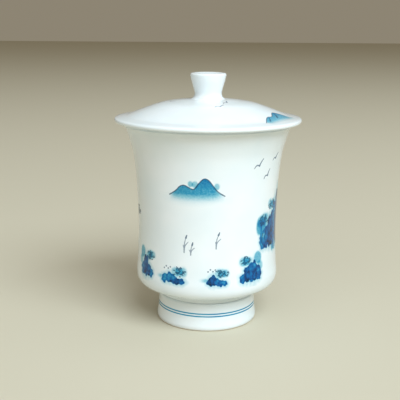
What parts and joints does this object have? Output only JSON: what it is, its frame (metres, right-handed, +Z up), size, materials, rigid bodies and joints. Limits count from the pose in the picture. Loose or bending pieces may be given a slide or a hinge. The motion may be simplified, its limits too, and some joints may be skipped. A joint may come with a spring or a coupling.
{
  "type": "lidded tea cup",
  "caption": "Tall waisted porcelain tea cup on a high foot, with a domed, knobbed lid and a blue painted landscape.",
  "frame": {"origin": "centre of the foot's rest plane", "axes": "+Z up along the turning axis, from the foot to the knob; the painted hill faces -Y"},
  "size_m": [0.084, 0.084, 0.1133],
  "materials": {
    "glazed_porcelain": "gloss",
    "foot_porcelain": "gloss"
  },
  "bodies": {
    "cup": {"cup_body": "glazed_porcelain", "foot_ring": "foot_porcelain"},
    "lid": {"lid_dome": "glazed_porcelain", "lid_flange": "glazed_porcelain", "lid_knob": "glazed_porcelain"}
  },
  "joints": [
    {"name": "lid_lift", "type": "slide", "parent": "cup", "child": "lid", "axis": [0, 0, 1], "range_m": [0, 0.1]}
  ]
}
